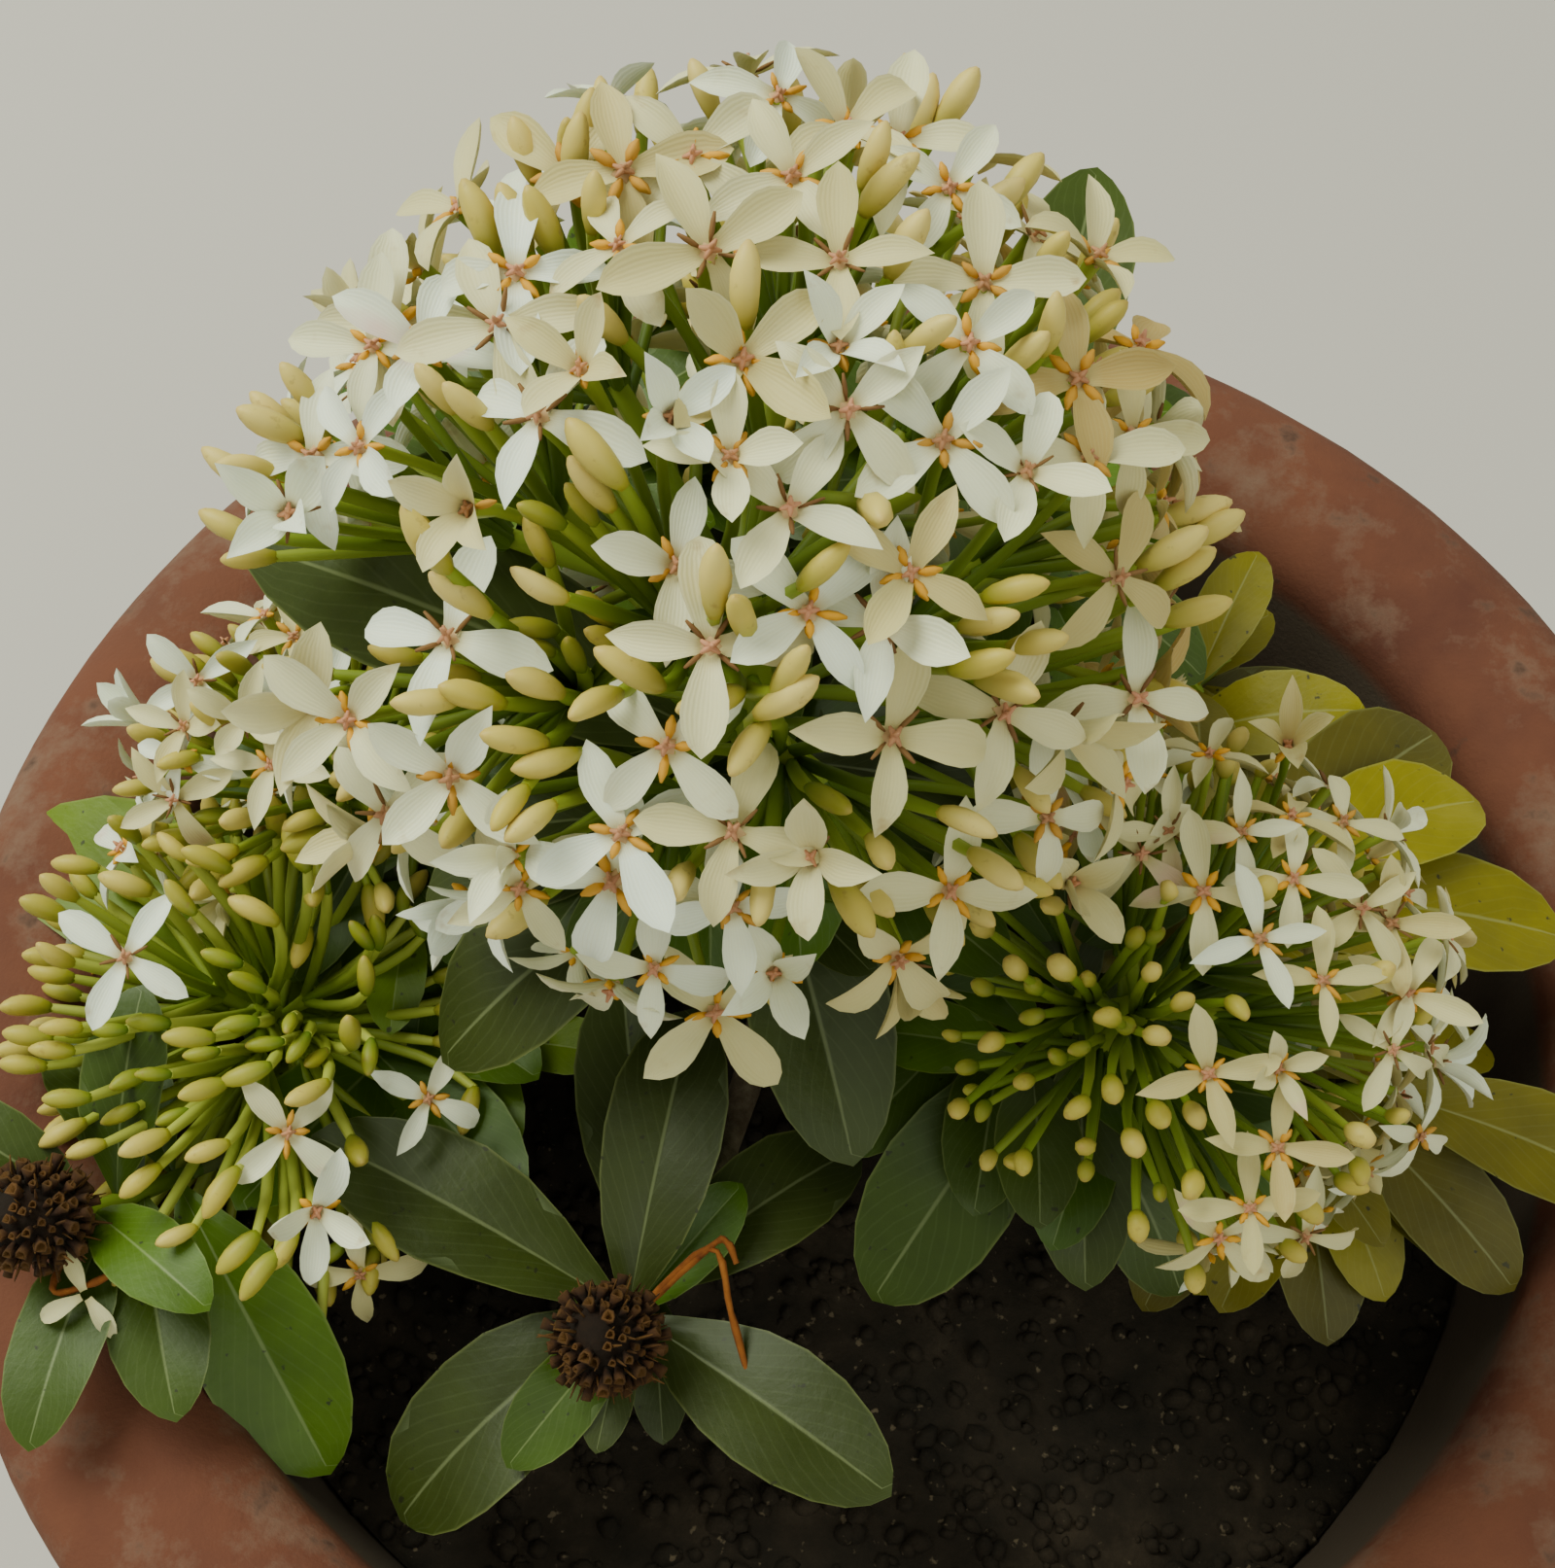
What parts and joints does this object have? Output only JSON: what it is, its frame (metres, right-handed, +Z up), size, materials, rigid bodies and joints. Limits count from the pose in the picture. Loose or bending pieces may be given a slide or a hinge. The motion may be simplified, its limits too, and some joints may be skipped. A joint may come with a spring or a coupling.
{
  "type": "potted ixora",
  "caption": "Dwarf white ixora shrub in a round terracotta pot: short trunk, boughs, masses of leaves, round flower heads, buds and spent heads, standing on the pot's flat underside",
  "frame": {"origin": "centre of the pot's flat underside", "axes": "+Z up through the pot's axis, +X to the right and +Y away as the plant is seen from its front"},
  "size_m": [0.356, 0.356, 0.4941],
  "materials": {
    "terracotta": "unglazed, dusty red wash, worn at the rim",
    "soil": "damp dark potting soil, crumbly",
    "bark": "rough grey-brown bark",
    "leaves": "dark green leaves with a soft gloss and pale midribs",
    "yellow_leaves": "yellowing leaves with a soft gloss",
    "blossom": "matt white to cream petals, yellow-green buds and tubes",
    "dried_flowers": "dry brown flower cups"
  },
  "bodies": {
    "root": {"pot": "terracotta", "soil": "soil", "trunk": "bark", "bough_main": "bark", "bough_right": "bark", "bough_left_back": "bark", "bough_left_front": "bark", "bough_front": "bark", "bough_left_low": "bark", "bough_back_left": "bark", "bough_back_right": "bark", "bough_back": "bark", "bough_right_back": "bark", "bough_right_low": "bark", "bough_right_front": "bark", "leaves_main": "leaves", "leaves_right": "leaves", "leaves_left_back": "leaves", "leaves_left_front": "leaves", "leaves_front": "leaves", "leaves_left_low": "leaves", "leaves_back_left": "leaves", "leaves_back_right": "leaves", "leaves_back": "leaves", "leaves_right_back": "yellow_leaves", "leaves_right_low": "yellow_leaves", "leaves_right_front": "yellow_leaves", "head_main": "blossom", "head_right": "blossom", "head_left_back": "blossom", "head_left_front": "blossom", "head_back": "blossom", "spent_front": "dried_flowers", "spent_left_low": "dried_flowers"}
  },
  "joints": []
}
